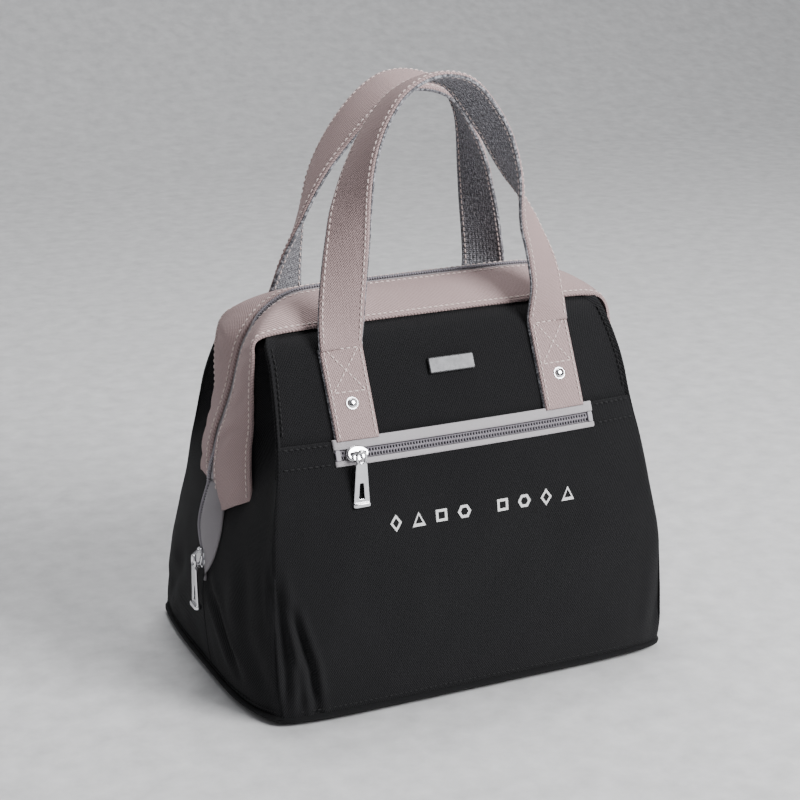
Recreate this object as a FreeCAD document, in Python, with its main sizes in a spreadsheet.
import FreeCAD, Part
import math
import os

import Sketcher
from FreeCAD import Placement, Rotation, Vector

# Insulated lunch tote with a wide framed zip mouth, two strap handles and a zipped front pocket.
# Millimetres. +Z is up, the front faces -Y and the base rests on Z = 0.

doc = FreeCAD.newDocument("LunchTote")
sheet = doc.addObject("Spreadsheet::Sheet", "Dimensions")

DIMENSIONS = [
    ("mouth_y", -14),
    ("mouth_top", 219.5),
    ("pivot_height", 104),
    ("side_top", 100),
    ("seam_angle", 62),
    ("foam_angle", 50),
    ("liner_angle", 44),
    ("fabric", 1.2),
    ("foam", 4),
    ("foil", 0.6),
    ("pocket_depth", 6.4),
    ("pocket_half_width", 86),
    ("pocket_zip_half", 78),
    ("pocket_zip_low", 140.6),
    ("pocket_zip_high", 155),
    ("tape_half", 4.8),
    ("band_reach", 27),
    ("strap_width", 25),
    ("strap_offset", 62.5),
    ("strap_facing", 1.2),
    ("strap_webbing", 1.8),
    ("strap_low", 155.4),
    ("hinge_height", 199.5),
    ("hinge_reach", 41.5),
    ("handle_rise", 139),
    ("back_lean", 9),
    ("board_width", 226),
    ("board_depth", 158),
    ("board_thick", 2.4),
    ("board_corner", 30),
    ("piping_radius", 1.9),
    ("wire_radius", 1.3),
    ("wire_reach", 4.2),
    ("eye_radius", 5),
    ("eye_thick", 1.6),
    ("front_eye_x", 115.8),
    ("back_eye_x", 113.4),
    ("pin_radius", 2),
    ("pin_clearance", 0.05),
    ("pin_length", 6.6),
    ("pivot_plate_width", 14),
    ("pivot_plate_height", 33.5),
    ("pivot_plate_low", -30),
    ("pivot_plate_thick", 1.2),
    ("coil_radius", 1.1),
    ("coil_reach", 1.4),
    ("pocket_coil_radius", 1.2),
    ("pocket_coil_stand_off", 1.5),
    ("plate_width", 26),
    ("plate_height", 7.4),
    ("plate_thick", 1.5),
    ("plate_bevel", 0.9),
    ("plate_centre", 183),
    ("rivet_washer_radius", 3.7),
    ("rivet_washer_thick", 0.7),
    ("rivet_dome_radius", 2.5),
    ("rivet_height", 1.8),
    ("rivet_centre", 168),
    ("slider_width", 8.4),
    ("slider_length", 11.5),
    ("slider_thick", 2.6),
    ("slider_lug", 1),
    ("slider_lug_length", 3.4),
    ("slider_lug_height", 3.4),
    ("slider_gap", 3.4),
    ("bar_radius", 0.8),
    ("bar_height", 4.8),
    ("bar_hole_radius", 0.86),
    ("knuckle_radius", 1.7),
    ("knuckle_width", 3),
    ("puller_width", 8.6),
    ("puller_length", 25),
    ("puller_neck", 5),
    ("puller_thick", 1.4),
    ("puller_window_width", 3.2),
    ("puller_window_length", 11),
    ("pocket_slider_x", -66),
    ("pocket_slider_lean", 12),
    ("main_slider_z", 74),
    ("zip_tail_low", 62),
    ("zip_tail_width", 13),
    ("zip_tail_thick", 0.9),
    ("side_slope", 6.34),
]
for row, (alias, number) in enumerate(DIMENSIONS, start=1):
    sheet.set("A" + str(row), alias)
    sheet.set("B" + str(row), str(number))
    sheet.setAlias("B" + str(row), alias)
doc.recompute()


def value(alias):
    return float(sheet.get(alias))


def bind(target, path, alias):
    target.setExpression(path, "Dimensions." + alias)


MOUTH_Y = value("mouth_y")
PIVOT_Z = value("pivot_height")

# Outline of the soft body: height, half width, front Y, back Y, corner radius, and how far an inset of
# one millimetre moves the outline in along X, in along Y and down.
OUTLINE = [
    (0.0, 119.0, -85.0, 85.0, 32.0, 1.0, 1.0, 0.0),
    (7.0, 126.0, -92.0, 92.0, 38.0, 1.0, 1.0, 0.0),
    (50.0, 130.0, -91.5, 88.0, 36.0, 1.0, 1.0, 0.0),
    (104.0, 124.0, -87.0, 61.0, 30.0, 1.0, 1.0, 0.0),
    (140.0, 117.5, -82.0, 54.0, 24.0, 1.0, 1.0, 0.0),
    (152.0, 115.0, -77.0, 49.0, 22.0, 1.0, 1.0, 0.05),
    (198.0, 101.5, -55.0, 27.0, 15.0, 0.9, 0.9, 0.45),
    (206.4, 98.0, -41.0, 13.0, 12.0, 0.8, 0.5, 0.85),
    (value("mouth_top"), 82.0, MOUTH_Y - value("tape_half"), MOUTH_Y + value("tape_half"), 4.5, 0.5, 0.3, 1.0),
]


def outline_at(height):
    """Row of the outline table at any height, between two rows by proportion."""
    for low, high in zip(OUTLINE, OUTLINE[1:]):
        if height <= high[0]:
            share = (height - low[0]) / (high[0] - low[0])
            return tuple(a + (b - a) * share for a, b in zip(low, high))
    return OUTLINE[-1]


def section_wire(row, inset, front_extra):
    """Closed rounded rectangle of one outline row, moved in by the inset."""
    height, half_x, front, back, radius, pull_x, pull_y, pull_z = row
    z = height - inset * pull_z
    x = half_x - inset * pull_x
    y0 = front + inset * pull_y + front_extra
    y1 = back - inset * pull_y
    r = min(max(radius - inset, 1.0), (y1 - y0) / 2 - 0.4)
    corners = [(x, y1, 0), (-x, y1, 90), (-x, y0, 180), (x, y0, 270)]
    arcs = []
    for cx, cy, start in corners:
        centre = Vector(cx - math.copysign(r, cx), cy + (r if cy == y0 else -r), z)
        points = []
        for step in (0, 45, 90):
            angle = math.radians(start + step)
            points.append(centre + Vector(r * math.cos(angle), r * math.sin(angle), 0))
        arcs.append(Part.Arc(*points).toShape())
    edges = []
    for index, arc in enumerate(arcs):
        following = arcs[(index + 1) % 4]
        edges.append(arc)
        edges.append(Part.makeLine(arc.Vertexes[-1].Point, following.Vertexes[0].Point))
    return Part.Wire(edges)


def body_solid(inset, low, high, front_extra=0.0):
    """Solid inside the soft body's outline between two heights, moved in by the inset."""
    rows = [outline_at(low)]
    rows += [row for row in OUTLINE if low + 0.01 < row[0] < high - 0.01]
    rows.append(outline_at(high))
    wires = [section_wire(row, inset, front_extra) for row in rows]
    return Part.makeLoft(wires, True, True)


def body_shell(outer, inner, low, high, front_extra=0.0):
    """Layer between two insets, open at the bottom and closed at the top."""
    outside = body_solid(outer, low, high, front_extra)
    inside = body_solid(inner, low - 0.5 if low > 0.5 else low, high, front_extra)
    return outside.cut(inside)


def prism_yz(points, half_length=200.0):
    """Prism along X over a closed outline given as (Y, Z) points."""
    loop = [Vector(-half_length, y, z) for y, z in points]
    loop.append(loop[0])
    return Part.Face(Part.makePolygon(loop)).extrude(Vector(2 * half_length, 0, 0))


def prism_xz(points, y0, y1):
    """Prism along Y over a closed outline given as (X, Z) points."""
    loop = [Vector(x, y0, z) for x, z in points]
    loop.append(loop[0])
    return Part.Face(Part.makePolygon(loop)).extrude(Vector(0, y1 - y0, 0))


def wedge(side, angle, start, end=300.0):
    """Zone above a ray from the mouth pivot; side is -1 for the front and 1 for the back."""
    slope = 1 / math.tan(math.radians(angle))
    points = [
        (MOUTH_Y + side * start, PIVOT_Z + start * slope),
        (MOUTH_Y + side * end, PIVOT_Z + end * slope),
        (MOUTH_Y + side * end, 400.0),
        (MOUTH_Y + side * start, 400.0),
    ]
    return prism_yz(points)


def panel_zone(margin, y0, y1):
    """Zone between the two edges of the front or back panel, which follow the body's taper."""
    lower = 119.0 - margin
    middle = 113.5 - margin
    upper = 96.0 - margin
    points = [(-lower, -5), (lower, -5), (lower, 60), (middle, 140), (upper, 203)]
    points += [(upper, 260), (-upper, 260), (-upper, 203), (-middle, 140), (-lower, 60)]
    return prism_xz(points, y0, y1)


def slab(low, high):
    """Zone between two heights."""
    return Part.makeBox(400, 400, high - low, Vector(-200, -200, low))


def half_space(side, start):
    """Zone on one side of the mouth plane."""
    y0 = MOUTH_Y + start if side > 0 else MOUTH_Y - start - 300
    return Part.makeBox(400, 300, 400, Vector(-200, y0, 0))


def side_zone(side):
    """Zone of one end of the bag, -1 for the left and 1 for the right."""
    return Part.makeBox(200, 400, 400, Vector(0 if side > 0 else -200, -200, 0))


nodes = []


def keep_solids(shape, smallest=20.0):
    """Drop crumbs that a boolean leaves behind."""
    solids = [solid for solid in shape.Solids if solid.Volume > smallest]
    return solids[0] if len(solids) == 1 else Part.makeCompound(solids)


def add_feature(label, shape):
    """A formed soft piece, whose shape has no sketch of its own."""
    feature = doc.addObject("Part::Feature", label)
    feature.Label = label
    feature.Shape = keep_solids(shape)
    nodes.append(feature)
    return feature


def add_body(label):
    body = doc.addObject("PartDesign::Body", label)
    body.Label = label
    body.AllowCompound = True
    nodes.append(body)
    return body


def origin_feature(body, role):
    for feature in body.Origin.OriginFeatures:
        if feature.Role == role:
            return feature
    raise ValueError(role)


def add_sketch(body, name, role):
    sketch = body.newObject("Sketcher::SketchObject", name)
    sketch.AttachmentSupport = [(origin_feature(body, role), "")]
    sketch.MapMode = "FlatFace"
    return sketch


def draw_rectangle(sketch, width, height, rise=None):
    """Rectangle about the sketch's vertical axis, sized by two cells; rise lifts its lower edge."""
    first = sketch.GeometryCount
    w = value(width) / 2
    h = value(height)
    base = value(rise) if rise else -h / 2
    corners = [Vector(-w, base, 0), Vector(w, base, 0), Vector(w, base + h, 0), Vector(-w, base + h, 0)]
    for index in range(4):
        sketch.addGeometry(Part.LineSegment(corners[index], corners[(index + 1) % 4]), False)
    for index in range(4):
        following = first + (index + 1) % 4
        sketch.addConstraint(Sketcher.Constraint("Coincident", first + index, 2, following, 1))
    for index, kind in ((1, "Vertical"), (2, "Horizontal"), (3, "Vertical")):
        sketch.addConstraint(Sketcher.Constraint(kind, first + index))
    if rise:
        sketch.addConstraint(Sketcher.Constraint("Symmetric", first, 1, first, 2, -2))
        place = sketch.addConstraint(Sketcher.Constraint("DistanceY", -1, 1, first, 1, base))
        bind(sketch, "Constraints[%d]" % place, rise)
    else:
        sketch.addConstraint(Sketcher.Constraint("Horizontal", first))
        sketch.addConstraint(Sketcher.Constraint("Symmetric", first, 1, first + 2, 1, -1, 1))
    across = sketch.addConstraint(Sketcher.Constraint("DistanceX", first, 1, first, 2, 2 * w))
    bind(sketch, "Constraints[%d]" % across, width)
    along = sketch.addConstraint(Sketcher.Constraint("DistanceY", first + 1, 1, first + 1, 2, h))
    bind(sketch, "Constraints[%d]" % along, height)


def draw_circle(sketch, radius, rise=None):
    """Circle on the sketch's origin or above it, sized and lifted by cells."""
    centre = Vector(0, value(rise) if rise else 0, 0)
    index = sketch.addGeometry(Part.Circle(centre, Vector(0, 0, 1), value(radius)), False)
    if rise:
        sketch.addConstraint(Sketcher.Constraint("PointOnObject", index, 3, -2))
        lift = sketch.addConstraint(Sketcher.Constraint("DistanceY", -1, 1, index, 3, centre.y))
        bind(sketch, "Constraints[%d]" % lift, rise)
    else:
        sketch.addConstraint(Sketcher.Constraint("Coincident", index, 3, -1, 1))
    size = sketch.addConstraint(Sketcher.Constraint("Radius", index, value(radius)))
    bind(sketch, "Constraints[%d]" % size, radius)


def add_pad(body, name, sketch, length, both_ways=False):
    pad = body.newObject("PartDesign::Pad", name)
    pad.Profile = sketch
    pad.SideType = "Symmetric" if both_ways else "One side"
    bind(pad, "Length", length)
    doc.recompute()
    return pad


def add_pocket(body, name, sketch):
    """Cut right through the body from the sketch, both ways."""
    before = body.Shape.Volume
    pocket = body.newObject("PartDesign::Pocket", name)
    pocket.Profile = sketch
    pocket.Type = "ThroughAll"
    pocket.SideType = "Symmetric"
    doc.recompute()
    if body.Shape.Volume >= before:
        raise ValueError(name + " removed nothing")
    return pocket


def edge_names(shape, test):
    return ["Edge%d" % (i + 1) for i, edge in enumerate(shape.Edges) if test(edge)]


def is_upright(edge):
    ends = [vertex.Point for vertex in edge.Vertexes]
    return len(ends) == 2 and abs(ends[0].x - ends[1].x) < 1e-6 and abs(ends[0].y - ends[1].y) < 1e-6


def rounded_path(points):
    """Straight runs through the points, joined by tangent arcs as large as the shorter run allows."""
    edges = []
    start = points[0]
    for before, corner, after in zip(points, points[1:], points[2:]):
        arriving = (corner - before).normalize()
        leaving = (after - corner).normalize()
        turn = arriving.getAngle(leaving)
        if turn < 0.01:
            continue
        trim = 0.45 * min((corner - before).Length, (after - corner).Length)
        radius = trim / math.tan(turn / 2)
        first = corner - arriving * trim
        last = corner + leaving * trim
        middle = corner + (leaving - arriving).normalize() * (radius / math.cos(turn / 2) - radius)
        edges.append(Part.makeLine(start, first))
        edges.append(Part.Arc(first, middle, last).toShape())
        start = last
    edges.append(Part.makeLine(start, points[-1]))
    return Part.Wire(edges)


def tube(points, radius):
    """Round tube along straight runs and tangent arcs."""
    spine = rounded_path(points)
    tangent = points[1] - points[0]
    ring = Part.Wire([Part.Circle(points[0], tangent, radius).toShape()])
    swept = spine.makePipeShell([ring], True, False)
    expected = math.pi * radius * radius * spine.Length
    if abs(swept.Volume - expected) > 0.02 * expected:
        raise ValueError("tube volume %.1f, expected %.1f" % (swept.Volume, expected))
    return swept


FABRIC = value("fabric")
FOAM_IN = FABRIC + 0.1
FOAM_OUT = FOAM_IN + value("foam")
FOIL_IN = FOAM_OUT + 0.1
FOIL_OUT = FOIL_IN + value("foil")
TOP = value("mouth_top")
SIDE_TOP = value("side_top")
SEAM = value("seam_angle")
FOLD_GAP = 0.4

# Lower shell: base, four fabric walls and the webs that fold when the mouth opens.
base_tub = body_solid(0, 0, 7.6).cut(body_solid(FABRIC, FABRIC, 8.0))
add_feature("base_fabric", base_tub)

board = add_body("base_board")
board_sketch = add_sketch(board, "BoardOutline", "XY_Plane")
draw_rectangle(board_sketch, "board_width", "board_depth")
board_pad = add_pad(board, "BoardPad", board_sketch, "board_thick")
board_fillet = board.newObject("PartDesign::Fillet", "BoardCorners")
board_fillet.Base = (board_pad, edge_names(board_pad.Shape, is_upright))
bind(board_fillet, "Radius", "board_corner")
board.Placement = Placement(Vector(0, 0, FABRIC + 0.1), Rotation())

piping_row = list(outline_at(7.6))
piping_row[0] = 7.8 + value("piping_radius")
piping_path = section_wire(tuple(piping_row), -0.9, 0)
piping_start = piping_path.Edges[0].Vertexes[0].Point
piping_ring = Part.Wire([Part.Circle(piping_start, Vector(0, 1, 0), value("piping_radius")).toShape()])
add_feature("base_piping", piping_path.makePipeShell([piping_ring], True, False))

WALL_LOW = 7.8 + 2 * value("piping_radius")
lower_skin = body_shell(0, FABRIC, WALL_LOW, 150.0)
lower_skin = lower_skin.common(slab(0, 149.0))
ray_front = wedge(-1, SEAM, 0)
ray_back = wedge(1, SEAM, 0)
below_rays = lower_skin.cut(ray_front).cut(ray_back)
trimmed = {}
for name, side in (("front", -1), ("back", 1)):
    strip = below_rays.common(half_space(side, 30))
    panel = strip.common(panel_zone(0, -200, 200))
    limit = body_solid(-3, 0, 139.6)
    trimmed[name] = panel.common(limit)
    add_feature(name + "_lower_panel", trimmed[name])

ends = below_rays.cut(trimmed["front"]).cut(trimmed["back"])
ends = ends.cut(panel_zone(0.3, -200, -40)).cut(panel_zone(0.3, 20, 200))
for name, side in (("left", -1), ("right", 1)):
    end = ends.common(side_zone(side))
    add_feature(name + "_side_panel", end.common(slab(0, SIDE_TOP)))
    for half, depth in (("front", -1), ("back", 1)):
        web = end.common(slab(SIDE_TOP + FOLD_GAP, 200)).common(half_space(depth, 0.6))
        lowered = web.cut(wedge(depth, SEAM + 0.6, 0))
        add_feature(name + "_" + half + "_side_web", lowered)

# Lower padding: one foam sheet to a wall, the front one hollowed for the pocket.
FOAM_LOW = 8.0
FOAM_HIGH = 131.0
pocket_depth = value("pocket_depth")
foam_walls = body_solid(FOAM_IN + 0.1, FOAM_LOW, FOAM_HIGH)
foam_core = body_solid(FOAM_OUT, FOAM_LOW - 1, FOAM_HIGH + 1, pocket_depth)
walls = foam_walls.cut(foam_core)
front_foam = walls.common(panel_zone(9, -200, -50)).common(half_space(-1, 40))
half_pocket = value("pocket_half_width")
pocket_room = body_solid(0, 18, 125).cut(body_solid(FOAM_IN + 0.1 + pocket_depth - 0.4, 17, 126))
pocket_box = Part.makeBox(2 * half_pocket, 60, 107, Vector(-half_pocket, -100, 18))
front_foam = front_foam.cut(pocket_room.common(pocket_box))
add_feature("front_lower_foam", front_foam)
back_foam = walls.common(panel_zone(9, 30, 200)).common(half_space(1, 40))
add_feature("back_lower_foam", back_foam)
end_foam = walls.cut(panel_zone(8.6, -200, -50)).cut(panel_zone(8.6, 30, 200)).common(slab(0, SIDE_TOP - 2))
for name, side in (("left", -1), ("right", 1)):
    add_feature(name + "_side_foam", end_foam.common(side_zone(side)))

base_foam = body_solid(FOAM_OUT + 0.2, 8.2, 12.2, pocket_depth)
add_feature("base_foam", base_foam)

foil_outer = body_solid(FOIL_IN, 12.4, 96, pocket_depth)
foil_inner = body_solid(FOIL_OUT, 12.4 + value("foil"), 97, pocket_depth)
add_feature("lower_foil_liner", foil_outer.cut(foil_inner))

def mouth_path(offset, reach, first_x=None):
    """Points up one end of the mouth, over the top and down the other end, in a plane of constant Y."""
    points = []
    if first_x is not None:
        points.append(Vector(-first_x, MOUTH_Y + reach, PIVOT_Z + 1))
        points.append(Vector(-first_x, MOUTH_Y + reach, PIVOT_Z + 6))
    for z in (116.0, 134.0, 152.0, 174.0, 192.0, 202.0, 210.0):
        half_x = outline_at(z)[1] - offset
        points.append(Vector(-half_x, MOUTH_Y + reach, z))
    points.append(Vector(-(82.0 - offset * 0.4), MOUTH_Y + reach, TOP - 3.2 - offset * 0.75))
    points.append(Vector(-70.0, MOUTH_Y + reach, TOP - offset - 0.3))
    points.append(Vector(-35.0, MOUTH_Y + reach, TOP - offset))
    mirrored = [Vector(-point.x, point.y, point.z) for point in reversed(points)]
    return points + [Vector(0, MOUTH_Y + reach, TOP - offset)] + mirrored


# Upper halves: everything that swings with one side of the mouth.
PANEL_BREAK = value("band_reach")
TAPE = value("tape_half")
upper_skin = body_shell(0, FABRIC, 104.0, TOP)
band_skin = body_shell(-0.3, FABRIC, 104.0, TOP)
tape_skin = body_shell(0, 1.0, 104.0, TOP)
foam_skin = body_shell(FOAM_IN, FOAM_OUT, 120.0, TOP)
foil_skin = body_shell(FOIL_IN, FOIL_OUT, 120.0, TOP)
strap_skin = body_shell(-3.1, -0.1, 120.0, TOP)

zip_half = value("pocket_zip_half")
zip_low = value("pocket_zip_low")
zip_high = value("pocket_zip_high")
zip_box = Part.makeBox(2 * zip_half, 60, zip_high - zip_low, Vector(-zip_half, -120, zip_low))
strap_half = value("strap_width") / 2
strap_offset = value("strap_offset")

for name, side in (("front", -1), ("back", 1)):
    swing = wedge(side, SEAM, 0.4)
    band = band_skin.common(swing).common(half_space(side, TAPE + 0.05))
    add_feature(name + "_band", band.cut(half_space(side, PANEL_BREAK)))
    channel = tube(mouth_path(-1.3, side * value("coil_reach")), value("coil_radius") + 0.05)
    add_feature(name + "_zip_tape", tape_skin.common(swing).cut(half_space(side, TAPE)).cut(channel))
    rest = upper_skin.common(swing).common(half_space(side, PANEL_BREAK + 0.05))
    panel = rest.common(panel_zone(0, -200, 200))
    gussets = rest.cut(panel_zone(-0.1, -200, 200))
    if side < 0:
        add_feature("pocket_zip_tape", panel.common(zip_box))
        panel = panel.cut(zip_box)
    add_feature(name + "_upper_panel", panel)
    for end, way in (("left", -1), ("right", 1)):
        add_feature(name + "_gusset_" + end, gussets.common(side_zone(way)))
    padding = foam_skin.common(wedge(side, value("foam_angle"), 10)).common(panel_zone(8, -200, 200))
    add_feature(name + "_upper_foam", padding.common(half_space(side, 11)))
    foil = foil_skin.common(wedge(side, value("liner_angle"), 10)).common(panel_zone(9, -200, 200))
    add_feature(name + "_upper_foil", foil.common(half_space(side, 11)))
    for end, way in (("left", -1), ("right", 1)):
        low = value("strap_low")
        high = value("hinge_height") - 1.0
        x0 = way * strap_offset - strap_half
        y0 = -130 if side < 0 else MOUTH_Y
        patch = Part.makeBox(2 * strap_half, 130 + MOUTH_Y, high - low, Vector(x0, y0, low))
        add_feature(name + "_strap_" + end, strap_skin.common(patch).common(half_space(side, 30)))


# Frame wires, each ending in a flat eye on the shared pivot pins.
for name, side in (("front", -1), ("back", 1)):
    eye_x = value(name + "_eye_x")
    wire = tube(mouth_path(4.6, side * value("wire_reach"), eye_x), value("wire_radius"))
    for way in (-1, 1):
        thick = value("eye_thick")
        start = Vector(way * eye_x - thick / 2, MOUTH_Y, PIVOT_Z)
        eye = Part.makeCylinder(value("eye_radius"), thick, start, Vector(1, 0, 0))
        bore_radius = value("pin_radius") + value("pin_clearance")
        bore = Part.makeCylinder(bore_radius, thick + 4, start - Vector(2, 0, 0), Vector(1, 0, 0))
        wire = wire.fuse(eye).cut(bore)
    add_feature(name + "_frame_wire", wire)

# Zip coils, one half on each side of the mouth.
for name, side in (("front", -1), ("back", 1)):
    coil = tube(mouth_path(-1.3, side * value("coil_reach")), value("coil_radius"))
    add_feature(name + "_zip_coil", coil)

# Pivots stand inside the end walls: a plate with the pin that both frame wires turn on.
for name, way in (("left", -1), ("right", 1)):
    pivot = add_body(name + "_frame_pivot")
    title = name.capitalize()
    plate_sketch = add_sketch(pivot, title + "PlateOutline", "XY_Plane")
    draw_rectangle(plate_sketch, "pivot_plate_width", "pivot_plate_height", "pivot_plate_low")
    plate_pad = add_pad(pivot, title + "PlatePad", plate_sketch, "pivot_plate_thick")
    plate_pad.Reversed = True
    doc.recompute()
    corners = pivot.newObject("PartDesign::Fillet", title + "PlateCorners")
    corners.Base = (plate_pad, edge_names(plate_pad.Shape, is_upright))
    corners.Radius = 5
    doc.recompute()
    pin_sketch = add_sketch(pivot, title + "PinOutline", "XY_Plane")
    draw_circle(pin_sketch, "pin_radius")
    add_pad(pivot, title + "PinPad", pin_sketch, "pin_length")
    turn = Rotation(Vector(0, 0, 1), -90 * way).multiply(Rotation(Vector(1, 0, 0), 90))
    inner_x = value("front_eye_x") + value("wire_radius") + 0.3
    pivot.Placement = Placement(Vector(way * inner_x, MOUTH_Y, PIVOT_Z), turn)

# Zip tails below the pivots: a fabric tab on each end wall with the last run of coil.
for name, way in (("left", -1), ("right", 1)):
    tail_low = value("zip_tail_low")
    width = value("zip_tail_width")
    tail_zone = Part.makeBox(400, width, SIDE_TOP - tail_low, Vector(-200, MOUTH_Y - width / 2, tail_low))
    tail = body_shell(-0.1 - value("zip_tail_thick"), -0.1, 50.0, 110.0).common(tail_zone)
    add_feature(name + "_zip_tail", tail.common(side_zone(way)))
    top_x = outline_at(SIDE_TOP - 0.5)[1] + 2.2
    low_x = outline_at(tail_low + 6)[1] + 2.2
    start = Vector(way * low_x, MOUTH_Y, tail_low + 6)
    run = Vector(way * top_x, MOUTH_Y, SIDE_TOP - 0.5) - start
    radius = value("coil_radius")
    add_feature(name + "_lower_coil", Part.makeCylinder(radius, run.Length, start, run))

# Name plate on the front panel, left blank.
panel_low = outline_at(152.0)
panel_high = outline_at(198.0)
PANEL_TILT = 90 - math.degrees(math.atan2(panel_high[2] - panel_low[2], 46.0))


def on_panel(side, x, height, stand_off):
    """Point on the outside of the front or back upper panel."""
    row = outline_at(height)
    y = row[2] if side < 0 else row[3]
    lift = math.radians(PANEL_TILT)
    return Vector(x, y + side * stand_off * math.sin(lift), height + stand_off * math.cos(lift))


name_plate = add_body("name_plate")
name_sketch = add_sketch(name_plate, "NamePlateOutline", "XY_Plane")
draw_rectangle(name_sketch, "plate_width", "plate_height")
name_pad = add_pad(name_plate, "NamePlatePad", name_sketch, "plate_thick")
rim = edge_names(name_pad.Shape, lambda edge: min(v.Point.z for v in edge.Vertexes) > value("plate_thick") - 0.01)
bevel = name_plate.newObject("PartDesign::Chamfer", "NamePlateBevel")
bevel.Base = (name_pad, rim)
bind(bevel, "Size", "plate_bevel")
name_plate.Placement = Placement(
    on_panel(-1, 0, value("plate_centre"), 0.1), Rotation(Vector(1, 0, 0), PANEL_TILT)
)

# Rivets through the sewn straps, one revolved head repeated on the second strap.
for name, side in (("front", -1), ("back", 1)):
    rivets = add_body(name + "_strap_rivets")
    profile = add_sketch(rivets, name.capitalize() + "RivetProfile", "XZ_Plane")
    washer = value("rivet_washer_radius")
    thick = value("rivet_washer_thick")
    dome = value("rivet_dome_radius")
    height = value("rivet_height")
    outline = [(0, 0), (washer, 0), (washer, thick), (dome, thick), (dome * 0.7, height), (0, height)]
    corners = [Vector(x, z, 0) for x, z in outline]
    for index in range(6):
        profile.addGeometry(Part.LineSegment(corners[index], corners[(index + 1) % 6]), False)
    for index in range(6):
        profile.addConstraint(Sketcher.Constraint("Coincident", index, 2, (index + 1) % 6, 1))
    profile.addConstraint(Sketcher.Constraint("Coincident", 0, 1, -1, 1))
    for index, kind in ((0, "Horizontal"), (1, "Vertical"), (2, "Horizontal"), (4, "Horizontal"), (5, "Vertical")):
        profile.addConstraint(Sketcher.Constraint(kind, index))
    size = profile.addConstraint(Sketcher.Constraint("DistanceX", 0, 1, 0, 2, washer))
    bind(profile, "Constraints[%d]" % size, "rivet_washer_radius")
    size = profile.addConstraint(Sketcher.Constraint("DistanceY", 1, 1, 1, 2, thick))
    bind(profile, "Constraints[%d]" % size, "rivet_washer_thick")
    size = profile.addConstraint(Sketcher.Constraint("DistanceX", -1, 1, 2, 2, dome))
    bind(profile, "Constraints[%d]" % size, "rivet_dome_radius")
    size = profile.addConstraint(Sketcher.Constraint("DistanceY", -1, 1, 4, 2, height))
    bind(profile, "Constraints[%d]" % size, "rivet_height")
    profile.addConstraint(Sketcher.Constraint("DistanceX", -1, 1, 4, 1, dome * 0.7))
    head = rivets.newObject("PartDesign::Revolution", name.capitalize() + "RivetHead")
    head.Profile = profile
    head.ReferenceAxis = (profile, ["V_Axis"])
    head.Angle = 360
    doc.recompute()
    pair = rivets.newObject("PartDesign::LinearPattern", name.capitalize() + "RivetPair")
    pair.Originals = [head]
    pair.Direction = (origin_feature(rivets, "X_Axis"), [""])
    pair.setExpression("Length", "2 * Dimensions.strap_offset")
    pair.Occurrences = 2
    rivets.Tip = pair
    place = on_panel(side, -strap_offset, value("rivet_centre"), 3.3)
    rivets.Placement = Placement(place, Rotation(Vector(1, 0, 0), -side * PANEL_TILT))

# Coil of the pocket zip and its end stops.
coil_z = (zip_low + zip_high) / 2
coil_row = outline_at(coil_z)
coil_length = 2 * zip_half - 8
coil_y = coil_row[2] - value("pocket_coil_stand_off")
coil_start = Vector(-coil_length / 2, coil_y, coil_z)
add_feature("pocket_zip_coil", Part.makeCylinder(value("pocket_coil_radius"), coil_length, coil_start, Vector(1, 0, 0)))
stop_lean = math.degrees(math.atan2(outline_at(152.0)[2] - outline_at(140.0)[2], 12.0))
stops = []
for way in (-1, 1):
    stop = Part.makeBox(2.4, 1.4, 6, Vector(-1.2, -1.6, -3))
    stop.rotate(Vector(0, 0, 0), Vector(1, 0, 0), -stop_lean)
    stop.translate(Vector(way * (coil_length / 2 + 1.7), coil_row[2], coil_z))
    stops.append(stop)
add_feature("pocket_zip_stops", Part.makeCompound(stops))


def build_slider(label, place):
    """Slider plate with two lugs and the cross bar that the puller hangs from."""
    slider = add_body(label)
    base = add_sketch(slider, label + "_outline", "XY_Plane")
    draw_rectangle(base, "slider_width", "slider_length")
    plate = add_pad(slider, label + "_plate", base, "slider_thick")
    rounded = slider.newObject("PartDesign::Fillet", label + "_corners")
    rounded.Base = (plate, edge_names(plate.Shape, is_upright))
    rounded.Radius = 1.6
    doc.recompute()
    lug = add_sketch(slider, label + "_lug", "YZ_Plane")
    draw_rectangle(lug, "slider_lug_length", "slider_lug_height", "slider_thick")
    lugs = slider.newObject("PartDesign::Pad", label + "_lugs")
    lugs.Profile = lug
    lugs.SideType = "Symmetric"
    lugs.setExpression("Length", "Dimensions.slider_gap + 2 * Dimensions.slider_lug")
    doc.recompute()
    slot = add_sketch(slider, label + "_slot", "XZ_Plane")
    draw_rectangle(slot, "slider_gap", "slider_lug_height", "slider_thick")
    add_pocket(slider, label + "_gap", slot)
    circle = add_sketch(slider, label + "_bar", "YZ_Plane")
    draw_circle(circle, "bar_radius", "bar_height")
    bar = slider.newObject("PartDesign::Pad", label + "_bar_pad")
    bar.Profile = circle
    bar.SideType = "Symmetric"
    bar.setExpression("Length", "Dimensions.slider_gap + Dimensions.slider_lug")
    doc.recompute()
    slider.Placement = place
    return slider


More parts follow.
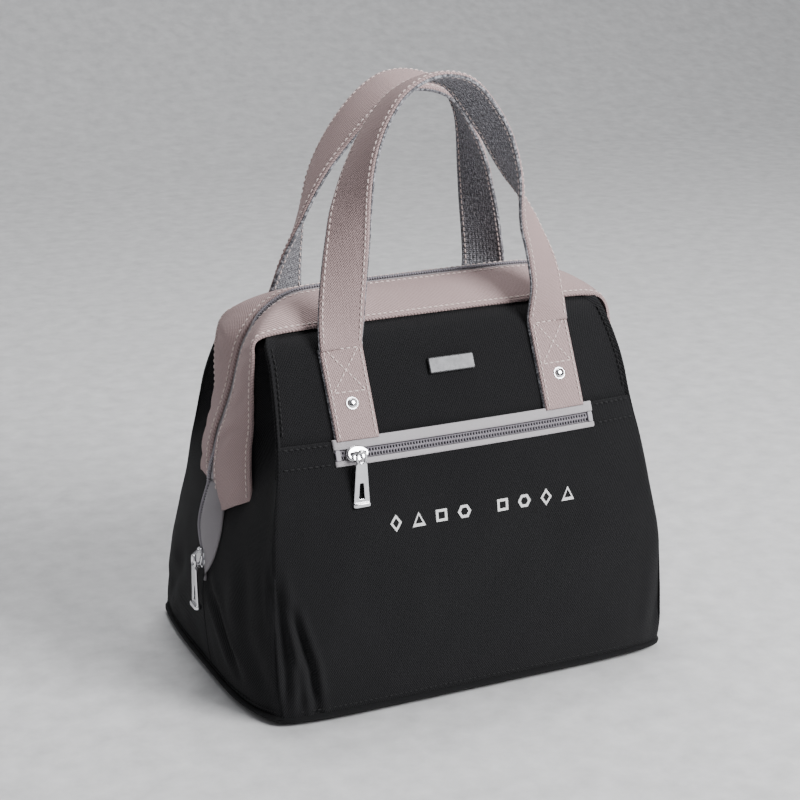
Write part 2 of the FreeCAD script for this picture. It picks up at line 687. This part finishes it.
def build_puller(label, place):
    """Flat tab with a window, hung from a bored knuckle."""
    puller = add_body(label)
    knuckle = add_sketch(puller, label + "_knuckle", "YZ_Plane")
    draw_circle(knuckle, "knuckle_radius")
    add_pad(puller, label + "_knuckle_pad", knuckle, "knuckle_width", True)
    neck = add_sketch(puller, label + "_neck", "XZ_Plane")
    width = value("knuckle_width") / 2
    half = value("puller_width") / 2
    narrow = half * 0.72
    drop = value("puller_neck")
    end = drop + value("puller_length")
    outline = [(-width, -0.9), (-width, -drop + 1.6), (-narrow, -drop), (-half, -end), (half, -end)]
    outline += [(narrow, -drop), (width, -drop + 1.6), (width, -0.9)]
    corners = [Vector(x, z, 0) for x, z in outline]
    for index in range(8):
        neck.addGeometry(Part.LineSegment(corners[index], corners[(index + 1) % 8]), False)
    for index in range(8):
        neck.addConstraint(Sketcher.Constraint("Coincident", index, 2, (index + 1) % 8, 1))
    neck.addConstraint(Sketcher.Constraint("Horizontal", 3))
    neck.addConstraint(Sketcher.Constraint("Horizontal", 7))
    size = neck.addConstraint(Sketcher.Constraint("DistanceX", 3, 1, 3, 2, 2 * half))
    bind(neck, "Constraints[%d]" % size, "puller_width")
    tab = add_pad(puller, label + "_tab", neck, "puller_thick", True)
    lip = puller.newObject("PartDesign::Fillet", label + "_corners")
    lowest = -end + 0.01

    def lower_corner(edge):
        ends = [vertex.Point for vertex in edge.Vertexes]
        return len(ends) == 2 and ends[0].z < lowest and ends[1].z < lowest and abs(ends[0].x - ends[1].x) < 1e-6

    lip.Base = (tab, edge_names(tab.Shape, lower_corner))
    lip.Radius = 1.2
    doc.recompute()
    window = add_sketch(puller, label + "_window", "XZ_Plane")
    w = value("puller_window_width") / 2
    h = value("puller_window_length")
    low = -drop - h - 4
    frame = [Vector(-w, low, 0), Vector(w, low, 0), Vector(w, low + h, 0), Vector(-w, low + h, 0)]
    for index in range(4):
        window.addGeometry(Part.LineSegment(frame[index], frame[(index + 1) % 4]), False)
    for index in range(4):
        window.addConstraint(Sketcher.Constraint("Coincident", index, 2, (index + 1) % 4, 1))
    for index, kind in ((1, "Vertical"), (2, "Horizontal"), (3, "Vertical")):
        window.addConstraint(Sketcher.Constraint(kind, index))
    size = window.addConstraint(Sketcher.Constraint("DistanceX", 0, 1, 0, 2, 2 * w))
    bind(window, "Constraints[%d]" % size, "puller_window_width")
    size = window.addConstraint(Sketcher.Constraint("DistanceY", 1, 1, 1, 2, h))
    bind(window, "Constraints[%d]" % size, "puller_window_length")
    window.addConstraint(Sketcher.Constraint("Symmetric", 0, 1, 0, 2, -2))
    add_pocket(puller, label + "_opening", window)
    bore = add_sketch(puller, label + "_bore", "YZ_Plane")
    draw_circle(bore, "bar_hole_radius")
    add_pocket(puller, label + "_bore_cut", bore)
    puller.Placement = place
    return puller


# Pocket zip slider: its plate lies on the coil and its puller hangs in front of the panel.
BAR_HEIGHT = value("bar_height")
slider_x = value("pocket_slider_x")
pocket_face = Vector(slider_x, coil_row[2] - 3.0, coil_z)
facing = Rotation(Vector(1, 0, 0), 90 - value("pocket_slider_lean"))
pocket_place = Placement(pocket_face, facing)
build_slider("pocket_slider", pocket_place)
pocket_bar = pocket_place.multVec(Vector(0, 0, BAR_HEIGHT))
build_puller("pocket_puller", Placement(pocket_bar, Rotation()))

# Main zip slider on the left end wall, below the frame pivot.
side_slope = value("side_slope")
main_z = value("main_slider_z")
main_face = Vector(-(outline_at(main_z)[1] + 3.5), MOUTH_Y, main_z)
upright = Rotation(Vector(0, 1, 0), side_slope)
outward = upright.multiply(Rotation(Vector(0, 0, 1), -90)).multiply(Rotation(Vector(1, 0, 0), 90))
main_place = Placement(main_face, outward)
build_slider("main_slider", main_place)
main_bar = main_place.multVec(Vector(0, 0, BAR_HEIGHT))
across = Rotation(Vector(0, 0, 1), -90)
build_puller("main_puller", Placement(main_bar, across))


def handle_sections(side, offset_in, offset_out):
    """Rectangles along a handle: flat against the bag at the ends, turned a quarter at the top."""
    half = value("strap_width") / 2
    rise = value("handle_rise")
    shape = [(0.0, 1.0), (0.1, 1.005), (0.2, 1.0), (0.32, 0.985), (0.45, 0.95), (0.57, 0.89)]
    shape += [(0.68, 0.81), (0.78, 0.7), (0.87, 0.55), (0.945, 0.36), (0.985, 0.17), (1.0, 0.0)]
    side_points = [Vector(-strap_offset * wide, 0, rise * up) for up, wide in shape]
    points = side_points + [Vector(-p.x, 0, p.z) for p in reversed(side_points[:-1])]
    count = len(points)
    wires = []
    for index, point in enumerate(points):
        before = points[max(index - 1, 0)]
        after = points[min(index + 1, count - 1)]
        tangent = (after - before).normalize()
        outward_dir = Vector(-tangent.z, 0, tangent.x)
        climb = point.z / rise
        turn = min(max((climb - 0.18) / 0.42, 0.0), 1.0)
        angle = math.radians(90 * turn * turn * (3 - 2 * turn))
        normal = Vector(0, side, 0) * math.cos(angle) + outward_dir * math.sin(angle)
        wide = normal.cross(tangent)
        corners = []
        for across_sign, depth in ((-1, offset_in), (1, offset_in), (1, offset_out), (-1, offset_out)):
            corners.append(point + wide * (half * across_sign) + normal * depth)
        wires.append(Part.makePolygon(corners + [corners[0]]))
    return wires


for name, side in (("front", -1), ("back", 1)):
    hinge = Vector(0, MOUTH_Y + side * value("hinge_reach"), value("hinge_height") + 0.6)
    tilt = Rotation(Vector(1, 0, 0), 0 if side < 0 else value("back_lean"))
    webbing = value("strap_webbing")
    layers = (("facing", 0.02, value("strap_facing")), ("webbing", -webbing, -0.02))
    for layer, inner, outer in layers:
        strip = Part.makeLoft(handle_sections(side, inner, outer), True, True)
        handle = add_feature(name + "_handle_" + layer, strip)
        handle.Placement = Placement(hinge, tilt)

doc.recompute()
os.makedirs("parts", exist_ok=True)
for obj in doc.Objects:
    if "Invalid" in obj.State or "Error" in obj.State:
        raise ValueError(obj.Label + " did not recompute")
for node in nodes:
    shape = node.Shape
    if shape.isNull() or not shape.isValid() or not shape.Solids:
        raise ValueError(node.Label + " has no valid solid")
    shape.exportStep("parts/" + node.Label + ".step")
print(len(nodes), "nodes")
